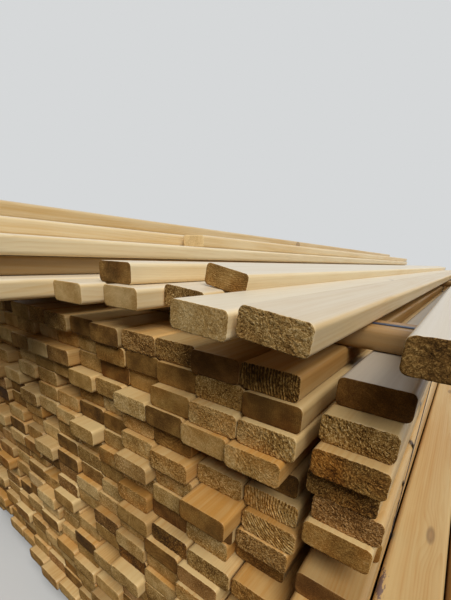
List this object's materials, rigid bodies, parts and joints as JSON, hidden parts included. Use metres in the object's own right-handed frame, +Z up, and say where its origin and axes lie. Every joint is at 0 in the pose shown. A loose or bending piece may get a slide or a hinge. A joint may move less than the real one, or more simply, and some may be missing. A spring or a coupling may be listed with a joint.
{
  "type": "stack of lumber",
  "caption": "Open pack of planed softwood boards with rounded arrises, laid flat in banded courses on bearers, with loose boards on top.",
  "frame": {"origin": "middle of the stack's box, at the underside of its bearers", "axes": "+X along the end face, +Y along the boards away from the end that shows in the picture, +Z up"},
  "size_m": [1.4764, 5.213, 1.1102],
  "materials": {
    "planed_board": "planed softwood with rough sawn ends, in the shade of the pack",
    "planed_board_bright": "pale planed softwood with sawn ends",
    "sawn_bearer": "rough sawn softwood, greyed",
    "steel_band": "dark blue painted steel band"
  },
  "bodies": {
    "root": {"band_1": "steel_band", "band_2": "steel_band", "band_3": "steel_band", "batten_1": "planed_board", "batten_2": "planed_board", "batten_3": "planed_board", "bearer_1": "sawn_bearer", "bearer_2": "sawn_bearer", "bearer_3": "sawn_bearer", "bearer_4": "sawn_bearer", "course_01": "planed_board", "course_02": "planed_board", "course_03": "planed_board", "course_04": "planed_board", "course_05": "planed_board", "course_06": "planed_board", "course_07": "planed_board", "course_08": "planed_board", "course_09": "planed_board", "course_10": "planed_board", "course_11": "planed_board", "course_12": "planed_board", "course_13": "planed_board", "course_14": "planed_board", "course_15": "planed_board", "course_16": "planed_board", "course_17": "planed_board", "course_18": "planed_board", "course_19": "planed_board", "course_20": "planed_board", "course_21": "planed_board", "loose_layer_1": "planed_board_bright", "loose_layer_2": "planed_board_bright", "loose_layer_3": "planed_board_bright", "loose_layer_4": "planed_board_bright", "loose_layer_5": "planed_board_bright"}
  },
  "joints": []
}
